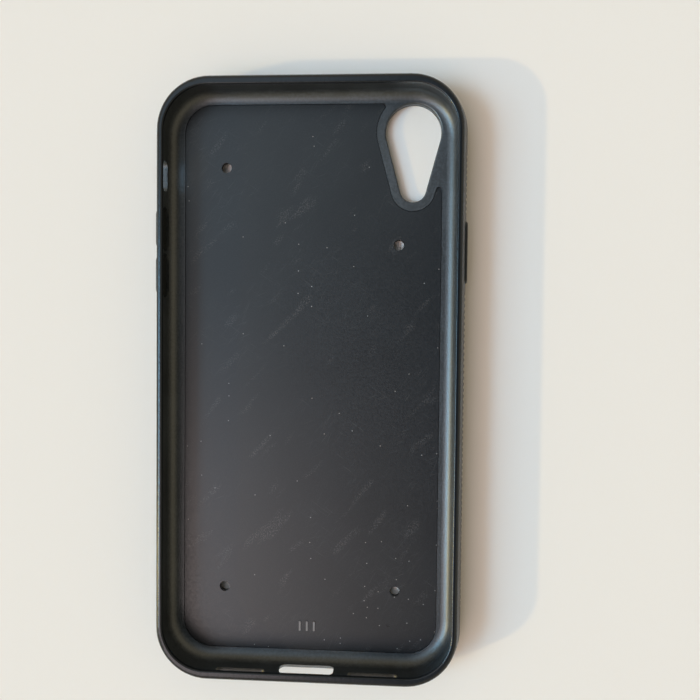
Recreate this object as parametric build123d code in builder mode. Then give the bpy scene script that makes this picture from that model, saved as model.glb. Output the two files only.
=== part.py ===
from build123d import *
import os

# Soft-framed phone case with a hard back plate. Millimetres. The case lies on its back: +Z points out
# of the pocket, +Y to the camera end and +X to the power-button side. The origin is the centre of the
# bounding box, on the surface that the case lies on.

# --- the phone that the case is made for ---
phone_thickness = 8.3

# --- outside of the frame ---
case_width = 80.0
case_length = 156.8
case_height = 11.7
outer_corner_r = 14.5
belt_height = 6.2            # where the side wall is widest, above the ground
shoulder_taper = 14.0        # degrees that the wall leans in, from the belt to the rim
shoulder_blend_r = 9.0
rim_edge_r = 1.2
back_edge_r = 2.6

# --- pocket for the phone ---
floor_top = 2.4
pocket_width = 76.1
pocket_length = 151.3
pocket_corner_r = 12.2
pocket_floor_r = 3.0
pocket_roof_r = 0.7
lip_bottom = floor_top + phone_thickness
lip_width = 74.4
lip_length = 149.9
lip_corner_r = 11.4
lip_edge_r = 0.35

# --- hard back plate and the groove that holds its border ---
plate_width = 67.7
plate_length = 144.8
plate_corner_r = 7.4
plate_bottom = 0.8
plate_horn_r = 0.85          # rounding of the two tips beside the camera collar
seam = 0.15                  # gap between plate and frame
tongue_bottom = 1.2
tongue_top = 1.8
tongue_reach = 1.2
vent_r = 1.35
vent_x = 22.9
vent_y = 56.0
vent_y_beside_camera = 35.8
mark_height = 0.2
mark_width = 0.5
mark_end_r = 0.2
mark_length = 2.6
mark_pitch = 1.9
mark_x = -0.5
mark_y = -66.1
gate_mark_x = 21.2
gate_mark_y = -65.0
gate_mark_r = 0.5
gate_mark_depth = 0.12

# --- camera opening, a teardrop with a soft collar ---
camera_x = 26.4
camera_top_y = 65.2
camera_top_r = 7.25
camera_low_y = 50.4
camera_low_r = 3.4
collar_width = 2.5
collar_edge_r = 0.4

# --- openings in the end wall and the mute opening ---
button_z = floor_top + phone_thickness / 2
port_width = 14.2
port_bottom = 4.8            # on the inner face of the end wall
port_top = 9.6
port_mouth_bottom = 0.7      # on the outer face, where the port dips towards the back
port_mouth_top = 10.1
port_corner_r = 1.6
sound_slot_x = 17.3
sound_slot_z = 8.8
sound_slot_length = 13.0
sound_slot_height = 2.3
mute_y = 53.0
mute_length = 8.0
mute_height = 3.3
mouth_flare = 0.8            # how far each opening widens towards the outside
mouth_taper = 40.0

# --- button covers ---
power_y = 33.4
power_length = 15.8
volume_up_y = 39.3
volume_down_y = 27.3
volume_length = 10.0
cover_height = 3.2
power_stand_out = 0.2        # beyond the widest part of the frame
volume_stand_out = 0.1
cover_gap = 0.2
cover_edge_r = 0.45
flange_margin = 0.4
flange_thickness = 0.5
flange_face = case_width / 2 - 1.08
button_pocket_margin = 0.6
stop_gap = 0.05

# --- grip ribs moulded in the long sides ---
rib_pitch = 1.54
rib_groove_r = 0.62
rib_groove_depth = 0.4
rib_first_y = -57.8
rib_last_y = 58.4
rib_to_button = 2.4

same_place = 0.01            # how closely an edge is looked up by its place

# --- derived places ---
end_face = Plane.XZ.offset(case_length / 2)
end_wall_inside = Plane.XZ.offset(pocket_length / 2)
end_cut_depth = (case_length - pocket_length) / 2 + pocket_floor_r
mute_face = Plane.YZ.offset(-case_width / 2)
side_cut_depth = (case_width - pocket_width) / 2 + pocket_floor_r
port_height = port_top - port_bottom
port_z = (port_top + port_bottom) / 2
port_mouth_height = port_mouth_top - port_mouth_bottom
port_mouth_z = (port_mouth_top + port_mouth_bottom) / 2
vent_places = [
    (-vent_x, vent_y),
    (vent_x, vent_y_beside_camera),
    (-vent_x, -vent_y),
    (vent_x, -vent_y),
]
button_places = [
    (1, power_y, power_length),
    (-1, volume_up_y, volume_length),
    (-1, volume_down_y, volume_length),
]

os.makedirs("parts", exist_ok=True)


def camera_outline(grow):
    """The teardrop of the camera opening, grown outward."""
    with BuildSketch() as outline:
        with Locations((camera_x, camera_top_y)):
            Circle(camera_top_r + grow)
        with Locations((camera_x, camera_low_y)):
            Circle(camera_low_r + grow)
        make_hull()
    return outline.sketch


def plate_outline(grow, under_collar):
    """The back plate's outline, grown into the side walls and under the camera collar."""
    half_width = plate_width / 2 + grow
    half_length = plate_length / 2 + grow
    with BuildSketch() as outline:
        RectangleRounded(2 * half_width, 2 * half_length, plate_corner_r + grow)
        add(camera_outline(collar_width - under_collar), mode=Mode.SUBTRACT)
        beside_camera = outline.vertices().filter_by(lambda v: v.X > 0 and v.Y > camera_low_y)
        on_side = beside_camera.filter_by(lambda v: v.X > half_width - same_place)
        on_end = beside_camera.filter_by(lambda v: v.Y > half_length - same_place)
        tips = on_side + on_end
        fillet(tips, plate_horn_r)
    return outline.sketch


def cover_outline(y, length, grow):
    """A button cover's side view, as a pill in the YZ plane, grown outward."""
    with BuildSketch(Plane.YZ) as outline:
        with Locations((y, button_z)):
            SlotOverall(length + 2 * grow, cover_height + 2 * grow)
    return outline.sketch


def rib_places():
    """Where the grip grooves stand, clear of the buttons and of the mute opening."""
    count = int((rib_last_y - rib_first_y) / rib_pitch) + 1
    power_zone = power_length / 2 + rib_to_button
    last_left_y = volume_down_y - volume_length / 2 - rib_to_button
    x = case_width / 2 + rib_groove_r - rib_groove_depth
    for i in range(count):
        y = rib_first_y + i * rib_pitch
        if abs(y - power_y) > power_zone:
            yield (x, y)
        if y < last_left_y:
            yield (-x, y)


# --- outside of the frame: a belt, a leaning shoulder and a rounded back edge ---
with BuildPart() as body:
    with BuildSketch():
        RectangleRounded(case_width, case_length, outer_corner_r)
    extrude(amount=belt_height)
    with BuildSketch(Plane.XY.offset(belt_height)):
        RectangleRounded(case_width, case_length, outer_corner_r)
    extrude(amount=case_height - belt_height, taper=shoulder_taper)
    belt = body.edges().filter_by(lambda e: abs(e.center().Z - belt_height) < same_place)
    fillet(belt, shoulder_blend_r)
    fillet(body.edges().group_by(Axis.Z)[0], back_edge_r)
    fillet(body.edges().group_by(Axis.Z)[-1], rim_edge_r)

# --- the phone's own space, with its rounded long edges ---
with BuildPart() as pocket:
    with BuildSketch(Plane.XY.offset(floor_top)):
        RectangleRounded(pocket_width, pocket_length, pocket_corner_r)
    extrude(amount=phone_thickness)
    fillet(pocket.edges().group_by(Axis.Z)[0], pocket_floor_r)
    fillet(pocket.edges().group_by(Axis.Z)[-1], pocket_roof_r)

# --- frame: soft bumper with lip, camera collar, openings, button pockets and grip ribs ---
with BuildPart() as bumper_frame:
    add(body.part)
    add(pocket.part, mode=Mode.SUBTRACT)

    # opening inside the lip
    with BuildSketch(Plane.XY.offset(lip_bottom)):
        RectangleRounded(lip_width, lip_length, lip_corner_r)
    extrude(amount=case_height - lip_bottom, mode=Mode.SUBTRACT)
    lip_edges = bumper_frame.faces().sort_by(Axis.Z)[-1].inner_wires()[0].edges()
    fillet(lip_edges, lip_edge_r)

    # window over the back plate, groove for its border and recess behind it
    with BuildSketch(Plane.XY.offset(tongue_top)):
        add(plate_outline(seam, seam))
    extrude(amount=floor_top - tongue_top, mode=Mode.SUBTRACT)
    with BuildSketch(Plane.XY.offset(tongue_bottom)):
        add(plate_outline(tongue_reach, tongue_reach / 2))
    extrude(amount=tongue_top - tongue_bottom, mode=Mode.SUBTRACT)
    with BuildSketch():
        add(plate_outline(seam, seam))
    extrude(amount=tongue_bottom, mode=Mode.SUBTRACT)

    # camera opening
    with BuildSketch():
        add(camera_outline(0))
    extrude(amount=floor_top, mode=Mode.SUBTRACT)
    opening_rims = bumper_frame.edges(Select.LAST).group_by(Axis.Z)
    fillet(opening_rims[0] + opening_rims[-1], collar_edge_r)

    # charging port, which widens and dips towards the outside
    with BuildSketch(end_face):
        with Locations((0, port_z)):
            RectangleRounded(port_width, port_height, port_corner_r)
    extrude(amount=-end_cut_depth, mode=Mode.SUBTRACT)
    with BuildSketch(end_wall_inside):
        with Locations((0, port_z)):
            RectangleRounded(port_width, port_height, port_corner_r)
    with BuildSketch(end_face):
        with Locations((0, port_mouth_z)):
            RectangleRounded(port_width + 2 * mouth_flare, port_mouth_height, port_corner_r)
    loft(ruled=True, mode=Mode.SUBTRACT)

    # two sound slots and the mute opening, each flared outward
    with BuildSketch(end_face):
        with Locations((-sound_slot_x, sound_slot_z), (sound_slot_x, sound_slot_z)):
            SlotOverall(sound_slot_length, sound_slot_height)
    extrude(amount=-end_cut_depth, mode=Mode.SUBTRACT)
    with BuildSketch(end_face):
        with Locations((-sound_slot_x, sound_slot_z), (sound_slot_x, sound_slot_z)):
            SlotOverall(sound_slot_length + 2 * mouth_flare, sound_slot_height + mouth_flare)
    extrude(amount=-mouth_flare, taper=mouth_taper, mode=Mode.SUBTRACT)
    with BuildSketch(mute_face):
        with Locations((mute_y, button_z)):
            SlotOverall(mute_length, mute_height)
    extrude(amount=side_cut_depth, mode=Mode.SUBTRACT)
    with BuildSketch(mute_face):
        with Locations((mute_y, button_z)):
            SlotOverall(mute_length + 2 * mouth_flare, mute_height + 2 * mouth_flare)
    extrude(amount=mouth_flare, taper=mouth_taper, mode=Mode.SUBTRACT)

    # windows for the button covers, and the wider pockets behind them for their flanges
    for side, y, length in button_places:
        window = cover_outline(y, length, cover_gap)
        hollow = cover_outline(y, length, cover_gap + button_pocket_margin)
        extrude(window, amount=side * case_width / 2, mode=Mode.SUBTRACT)
        extrude(hollow, amount=side * (flange_face + stop_gap), mode=Mode.SUBTRACT)

    # grip grooves, which fade out where the side wall turns away
    with Locations(*rib_places()):
        Cylinder(
            rib_groove_r,
            case_height,
            align=(Align.CENTER, Align.CENTER, Align.MIN),
            mode=Mode.SUBTRACT,
        )
bumper_frame.part.label = "bumper_frame"

# --- back plate: hard panel with a thin border held in the frame, four vents and a moulder's mark ---
with BuildPart() as back_plate:
    with BuildSketch(Plane.XY.offset(plate_bottom)):
        add(plate_outline(0, 0))
    extrude(amount=floor_top - plate_bottom)
    with BuildSketch(Plane.XY.offset(tongue_bottom)):
        add(plate_outline(tongue_reach - stop_gap, tongue_reach / 2 - stop_gap))
    extrude(amount=tongue_top - tongue_bottom)
    with Locations(Plane.XY.offset(plate_bottom)):
        with Locations(*vent_places):
            Hole(vent_r)
    with BuildSketch(Plane.XY.offset(floor_top)):
        with Locations((mark_x, mark_y)):
            with GridLocations(mark_pitch, 0, 3, 1):
                RectangleRounded(mark_width, mark_length, mark_end_r)
    extrude(amount=mark_height)
    with Locations((gate_mark_x, gate_mark_y, floor_top)):
        Cylinder(gate_mark_r, gate_mark_depth * 2, mode=Mode.SUBTRACT)
back_plate.part.label = "back_plate"


def button_cover(side, y, length, stand_out):
    """A pill that stands out of the side wall, with a wider flange that stays inside it."""
    outer_face = side * (case_width / 2 + stand_out)
    with BuildPart() as cover:
        extrude(cover_outline(y, length, 0), amount=outer_face)
        outer_edges = cover.edges().filter_by(lambda e: abs(e.center().X - outer_face) < same_place)
        fillet(outer_edges, cover_edge_r)
        extrude(cover_outline(y, length, flange_margin), amount=side * flange_face)
        inside = side * (flange_face - flange_thickness)
        extrude(cover_outline(y, length, 2 * flange_margin), amount=inside, mode=Mode.SUBTRACT)
    return cover.part


power_button_cover = button_cover(1, power_y, power_length, power_stand_out)
power_button_cover.label = "power_button_cover"
volume_up_cover = button_cover(-1, volume_up_y, volume_length, volume_stand_out)
volume_up_cover.label = "volume_up_cover"
volume_down_cover = button_cover(-1, volume_down_y, volume_length, volume_stand_out)
volume_down_cover.label = "volume_down_cover"

for part in (bumper_frame.part, back_plate.part, power_button_cover, volume_up_cover, volume_down_cover):
    export_step(part, f"parts/{part.label}.step")
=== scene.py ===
import math

import bpy
from mathutils import Matrix, Vector

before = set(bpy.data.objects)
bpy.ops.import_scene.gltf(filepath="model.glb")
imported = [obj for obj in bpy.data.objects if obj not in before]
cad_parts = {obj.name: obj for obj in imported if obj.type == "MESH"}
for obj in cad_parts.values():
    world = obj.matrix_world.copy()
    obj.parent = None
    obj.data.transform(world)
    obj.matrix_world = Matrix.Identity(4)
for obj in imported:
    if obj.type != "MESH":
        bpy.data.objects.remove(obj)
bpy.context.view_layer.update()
MM = 0.001

# The camera looks down on the open case from over its right half, nearly straight down.
EYE = Vector((21.7, 14.2, 186.9)) * MM
AIM = Vector((10.35, 8.18, 2.4)) * MM
ROLL = math.radians(0.59)
LENS = 36.0
SENSOR = 36.0
NEAR_CLIP = 0.01

# Light: a tall cool window on the left, a weak warm lamp low on the left, and a room that is
# darker straight overhead and glows softly in two places on the left.
WINDOW_BEARING = math.radians(190.5)
WINDOW_HALF_WIDTH = 0.30      # of its distance
WINDOW_FOOT = 0.60            # height over distance
WINDOW_TOP = 1.37
WINDOW_BLUR = 0.07
WINDOW_RISE_FROM = 0.80       # the pane is brighter from here up
WINDOW_RISE_TO = 1.12
WINDOW_LOW_COLOUR = (2.6, 4.5, 5.8)
WINDOW_HIGH_COLOUR = (7.0, 11.6, 15.0)
LAMP_TRAVEL = (1.96, 0.7, -1.0)
LAMP_COLOUR = (0.98, 0.66, 0.22)
LAMP_ANGLE = 1.2
ROOM_COLOUR = (0.63, 0.505, 0.34)
OVERHEAD_COLOUR = (0.03, 0.04, 0.05)
OVERHEAD_EDGE = 0.62          # cosine of the angle from straight up where the dark part ends
OVERHEAD_CORE = 0.96          # cosine of the angle where it is darkest
# Each glow: its direction, colour, and the cosines where it starts and where it is full.
LOW_GLOW = ((-0.50, -0.44, 1.0), (3.5, 2.7, 2.5), 0.92, 0.985)
FAR_GLOW = ((-0.36, 0.42, 1.0), (1.0, 1.06, 1.12), 0.90, 0.985)
FLOOR_COLOUR = (0.80, 0.795, 0.775)
FLOOR_SIZE = 3.0
FLOOR_ROUGHNESS = 0.75
FLOOR_SPECULAR = 0.2

PLATE_SHEEN = (0.86, 0.95, 1.0)
PLATE_DARK = (0.0035, 0.0050, 0.0075)
PLATE_LIGHT = (0.005, 0.007, 0.010)
# Painted highlight: light grey on the raised moulded mark, standing in for the light its edges
# catch.
PLATE_MARK_HIGHLIGHT = (0.17, 0.17, 0.18)
PLATE_POWDER = (0.08, 0.08, 0.085)
PLATE_SCRATCH = (0.09, 0.095, 0.10)
PLATE_DUST = (0.35, 0.36, 0.37)
PLATE_SPECULAR = 0.75
PLATE_ROUGHNESS = (0.33, 0.41)
# Further scratches: turn in degrees, length and width in millimetres.
PLATE_SCRATCHES = ((68, 9.0, 0.10), (23, 6.0, 0.12), (-35, 8.0, 0.14))

RUBBER_SHEEN = (0.84, 0.94, 1.0)
RUBBER_DUST = (0.30, 0.31, 0.31)
RUBBER_IOR = 1.65
RIM_SHARE_OF_SHEEN = 0.40

# The frame's rim is polished from this height up, in millimetres over the ground.
RIM_POLISH_FROM = 10.3
RIM_POLISH_TO = 11.0

# The plate's inner face; the moulder's mark stands above it, in millimetres over the ground.
PLATE_FACE = 2.4


class Nodes:
    """A short way to add and join the nodes of one material or world."""

    def __init__(self, tree):
        self.tree = tree

    def add(self, kind, **settings):
        node = self.tree.nodes.new(kind)
        for name, value in settings.items():
            setattr(node, name, value)
        return node

    def set(self, socket, value):
        if isinstance(value, bpy.types.NodeSocket):
            self.tree.links.new(value, socket)
        else:
            socket.default_value = value

    def math(self, operation, *values):
        node = self.add("ShaderNodeMath", operation=operation)
        for socket, value in zip(node.inputs, values):
            self.set(socket, value)
        return node.outputs[0]

    def band(self, value, low, high, to_low=0.0, to_high=1.0):
        """A smooth step from one value to another as the input goes from low to high."""
        node = self.add("ShaderNodeMapRange", interpolation_type="SMOOTHSTEP")
        for name, given in (
            ("Value", value),
            ("From Min", low),
            ("From Max", high),
            ("To Min", to_low),
            ("To Max", to_high),
        ):
            self.set(node.inputs[name], given)
        return node.outputs["Result"]


def mix_colours(nodes, factor, first, second):
    """Blend two colours, given as triples or as sockets."""
    node = nodes.add("ShaderNodeMix", data_type="RGBA")
    colours = [socket for socket in node.inputs if socket.type == "RGBA"]
    nodes.set(node.inputs[0], factor)
    for socket, value in zip(colours, (first, second)):
        nodes.set(socket, (*value, 1) if isinstance(value, tuple) else value)
    return [socket for socket in node.outputs if socket.type == "RGBA"][0]


def add_camera():
    data = bpy.data.cameras.new("camera")
    data.lens = LENS
    data.sensor_width = SENSOR
    data.clip_start = NEAR_CLIP
    camera = bpy.data.objects.new("camera", data)
    bpy.context.scene.collection.objects.link(camera)
    back = (EYE - AIM).normalized()
    right = Vector((0, 1, 0)).cross(back).normalized()
    up = back.cross(right)
    turned_right = right * math.cos(ROLL) + up * math.sin(ROLL)
    turned_up = back.cross(turned_right)
    axes = Matrix((turned_right, turned_up, back)).transposed()
    camera.matrix_world = Matrix.Translation(EYE) @ axes.to_4x4()
    bpy.context.scene.camera = camera


def add_sun(name, travel, colour, angle_deg):
    """A distant window or lamp whose light travels along the given direction."""
    data = bpy.data.lights.new(name, "SUN")
    data.energy = max(colour)
    data.color = [channel / max(colour) for channel in colour]
    data.angle = math.radians(angle_deg)
    light = bpy.data.objects.new(name, data)
    light.rotation_euler = Vector(travel).to_track_quat("-Z", "Y").to_euler()
    bpy.context.scene.collection.objects.link(light)


def dot(nodes, vector, direction):
    node = nodes.add("ShaderNodeVectorMath", operation="DOT_PRODUCT")
    nodes.set(node.inputs[0], vector)
    node.inputs[1].default_value = direction
    return node.outputs["Value"]


def add_room():
    """A plain room with a tall window, two soft glows and a darker part straight overhead."""
    world = bpy.data.worlds.new("room")
    world.use_nodes = True
    nodes = Nodes(world.node_tree)
    looking = nodes.add("ShaderNodeTexCoord").outputs["Generated"]
    up = dot(nodes, looking, (0, 0, 1))
    overhead = nodes.band(up, OVERHEAD_EDGE, OVERHEAD_CORE)
    colour = mix_colours(nodes, overhead, ROOM_COLOUR, OVERHEAD_COLOUR)

    for direction, glow_colour, edge, core in (LOW_GLOW, FAR_GLOW):
        glow = nodes.band(dot(nodes, looking, Vector(direction).normalized()), edge, core)
        colour = mix_colours(nodes, glow, colour, glow_colour)

    toward = (math.cos(WINDOW_BEARING), math.sin(WINDOW_BEARING), 0)
    beside = (-math.sin(WINDOW_BEARING), math.cos(WINDOW_BEARING), 0)
    ahead = nodes.math("MAXIMUM", dot(nodes, looking, toward), 0.001)
    across = nodes.math("DIVIDE", nodes.math("ABSOLUTE", dot(nodes, looking, beside)), ahead)
    height = nodes.math("DIVIDE", up, ahead)
    pane = nodes.band(across, WINDOW_HALF_WIDTH + WINDOW_BLUR, WINDOW_HALF_WIDTH)
    pane = nodes.math("MULTIPLY", pane, nodes.band(height, WINDOW_FOOT - WINDOW_BLUR, WINDOW_FOOT))
    pane = nodes.math("MULTIPLY", pane, nodes.band(height, WINDOW_TOP + WINDOW_BLUR, WINDOW_TOP))
    rise = nodes.band(height, WINDOW_RISE_FROM, WINDOW_RISE_TO)
    daylight = mix_colours(nodes, rise, WINDOW_LOW_COLOUR, WINDOW_HIGH_COLOUR)
    colour = mix_colours(nodes, pane, colour, daylight)
    nodes.set(world.node_tree.nodes["Background"].inputs["Color"], colour)
    bpy.context.scene.world = world


def new_material(name):
    material = bpy.data.materials.new(name)
    material.use_nodes = True
    shader = material.node_tree.nodes["Principled BSDF"]
    return material, Nodes(material.node_tree), shader


def add_floor():
    half = FLOOR_SIZE / 2
    mesh = bpy.data.meshes.new("floor")
    corners = [(-half, -half, 0), (half, -half, 0), (half, half, 0), (-half, half, 0)]
    mesh.from_pydata(corners, [], [(0, 1, 2, 3)])
    floor = bpy.data.objects.new("floor", mesh)
    bpy.context.scene.collection.objects.link(floor)
    material, nodes, shader = new_material("floor_paint")
    shader.inputs["Base Color"].default_value = (*FLOOR_COLOUR, 1)
    shader.inputs["Roughness"].default_value = FLOOR_ROUGHNESS
    shader.inputs["Specular IOR Level"].default_value = FLOOR_SPECULAR
    mesh.materials.append(material)


def object_place(nodes):
    """The place on the object, in millimetres."""
    coordinates = nodes.add("ShaderNodeTexCoord").outputs["Object"]
    scaled = nodes.add("ShaderNodeVectorMath", operation="SCALE")
    nodes.set(scaled.inputs[0], coordinates)
    scaled.inputs["Scale"].default_value = 1 / MM
    return scaled.outputs[0]


def noise(nodes, place, scale, detail=2.0):
    node = nodes.add("ShaderNodeTexNoise")
    nodes.set(node.inputs["Vector"], place)
    node.inputs["Scale"].default_value = scale
    node.inputs["Detail"].default_value = detail
    return node.outputs["Fac"]


def scratch_lines(nodes, place, turn_deg, length_mm, width_mm, amount):
    """Thin broken lines in one direction: noise that is drawn out and cut near its middle value."""
    mapping = nodes.add("ShaderNodeMapping", vector_type="TEXTURE")
    nodes.set(mapping.inputs["Vector"], place)
    mapping.inputs["Rotation"].default_value = (0, 0, math.radians(turn_deg))
    mapping.inputs["Scale"].default_value = (length_mm, width_mm, 1)
    drawn = noise(nodes, mapping.outputs[0], 1.0, 1.0)
    return nodes.band(drawn, 1 - amount, 1 - amount * 0.6)


def specks(nodes, place, spacing_mm, radius_mm, share, dimensions="3D"):
    """Small round dots, one in some cells of a loose grid. "2D" is for a level face."""
    cells = nodes.add("ShaderNodeTexVoronoi", voronoi_dimensions=dimensions)
    nodes.set(cells.inputs["Vector"], place)
    cells.inputs["Scale"].default_value = 1 / spacing_mm
    edge = radius_mm / spacing_mm
    dot = nodes.band(cells.outputs["Distance"], edge, edge * 0.4)
    chosen = nodes.add("ShaderNodeSeparateColor")
    nodes.set(chosen.inputs[0], cells.outputs["Color"])
    kept = nodes.math("LESS_THAN", chosen.outputs[0], share)
    return nodes.math("MULTIPLY", dot, kept)


def bump(nodes, shader, height, distance_mm, strength):
    node = nodes.add("ShaderNodeBump")
    nodes.set(node.inputs["Height"], height)
    node.inputs["Distance"].default_value = distance_mm * MM
    node.inputs["Strength"].default_value = strength
    nodes.set(shader.inputs["Normal"], node.outputs["Normal"])


def height_over_ground(nodes, place):
    parts = nodes.add("ShaderNodeSeparateXYZ")
    nodes.set(parts.inputs[0], place)
    return parts.outputs["Z"]


def soft_rubber(name, dark, light, polished, roughness, polished_roughness, sheen):
    """Satin moulded rubber: grainy inside, with a polished rim and a few pale specks of dust."""
    material, nodes, shader = new_material(name)
    place = object_place(nodes)
    grain = noise(nodes, place, 1.6, 3.0)
    cloud = noise(nodes, place, 0.12, 3.0)
    dust = specks(nodes, place, 3.0, 0.11, 0.25)
    rim = nodes.band(height_over_ground(nodes, place), RIM_POLISH_FROM, RIM_POLISH_TO)
    shade = nodes.math("ADD", nodes.math("MULTIPLY", cloud, 0.4), nodes.math("MULTIPLY", grain, 0.6))
    tint = mix_colours(nodes, nodes.band(shade, 0.42, 0.58), dark, light)
    tint = mix_colours(nodes, rim, tint, polished)
    tint = mix_colours(nodes, nodes.math("MULTIPLY", dust, 0.6), tint, RUBBER_DUST)
    nodes.set(shader.inputs["Base Color"], tint)
    mottled = nodes.band(grain, 0.3, 0.7, roughness - 0.04, roughness + 0.05)
    finish = nodes.band(rim, 0, 1, mottled, polished_roughness)
    nodes.set(shader.inputs["Roughness"], finish)
    shader.inputs["IOR"].default_value = RUBBER_IOR
    specular = nodes.band(rim, 0, 1, sheen, sheen * RIM_SHARE_OF_SHEEN)
    nodes.set(shader.inputs["Specular IOR Level"], specular)
    shader.inputs["Specular Tint"].default_value = (*RUBBER_SHEEN, 1)
    bump(nodes, shader, grain, 0.05, 0.8)
    return material


def hard_plastic(name):
    """Smooth black plastic with fine scratches, powder, dust that gathers near one corner, and a
    painted highlight on the raised mark.
    """
    material, nodes, shader = new_material(name)
    place = object_place(nodes)
    cloud = noise(nodes, place, 0.05, 4.0)
    fine = noise(nodes, place, 1.6, 3.0)
    toward_corner = dot(nodes, place, (1, -1, 0))
    share = nodes.band(toward_corner, 40, 105, 0.10, 0.50)
    dust = specks(nodes, place, 3.7, 0.17, share, "2D")
    lines = scratch_lines(nodes, place, 52, 7.0, 0.12, 0.32)
    for turn, length, width in PLATE_SCRATCHES:
        more = scratch_lines(nodes, place, turn, length, width, 0.31)
        lines = nodes.math("MAXIMUM", lines, more)
    powder = nodes.band(noise(nodes, place, 3.4, 1.0), 0.50, 0.66)
    drift = scratch_lines(nodes, place, 48, 12.0, 3.5, 0.40)
    powder = nodes.math("MULTIPLY", powder, nodes.band(drift, 0, 1, 0.10, 1.0))
    worn = nodes.band(cloud, 0.40, 0.62)
    lines = nodes.math("MULTIPLY", lines, worn)
    tint = mix_colours(nodes, nodes.band(cloud, 0.35, 0.65), PLATE_DARK, PLATE_LIGHT)
    # Painted highlight: the mark standing above the plate's face is coloured light grey, though it
    # is the same black plastic.
    painted_mark_highlight = nodes.band(height_over_ground(nodes, place), PLATE_FACE + 0.04, PLATE_FACE + 0.12)
    tint = mix_colours(nodes, painted_mark_highlight, tint, PLATE_MARK_HIGHLIGHT)
    tint = mix_colours(nodes, nodes.math("MULTIPLY", powder, 0.65), tint, PLATE_POWDER)
    tint = mix_colours(nodes, nodes.math("MULTIPLY", lines, 0.45), tint, PLATE_SCRATCH)
    tint = mix_colours(nodes, nodes.math("MULTIPLY", dust, 0.9), tint, PLATE_DUST)
    nodes.set(shader.inputs["Base Color"], tint)
    hazed = nodes.band(fine, 0.3, 0.7, *PLATE_ROUGHNESS)
    nodes.set(shader.inputs["Roughness"], hazed)
    shader.inputs["Specular IOR Level"].default_value = PLATE_SPECULAR
    shader.inputs["Specular Tint"].default_value = (*PLATE_SHEEN, 1)
    bump(nodes, shader, fine, 0.006, 0.3)
    return material


def dress(node, material):
    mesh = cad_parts[node].data
    mesh.materials.clear()
    mesh.materials.append(material)


bpy.context.scene.view_settings.view_transform = "Standard"
add_camera()
add_floor()
add_room()
add_sun("lamp", LAMP_TRAVEL, LAMP_COLOUR, LAMP_ANGLE)

frame_rubber = soft_rubber(
    "soft_frame",
    dark=(0.006, 0.009, 0.013),
    light=(0.024, 0.031, 0.040),
    polished=(0.006, 0.009, 0.013),
    roughness=0.42,
    polished_roughness=0.22,
    sheen=0.85,
)
cover_rubber = soft_rubber(
    "button_cover",
    dark=(0.004, 0.005, 0.006),
    light=(0.006, 0.007, 0.008),
    polished=(0.004, 0.005, 0.006),
    roughness=0.48,
    polished_roughness=0.40,
    sheen=0.4,
)
dress("bumper_frame", frame_rubber)
dress("back_plate", hard_plastic("hard_plate"))
for cover in ("power_button_cover", "volume_up_cover", "volume_down_cover"):
    dress(cover, cover_rubber)
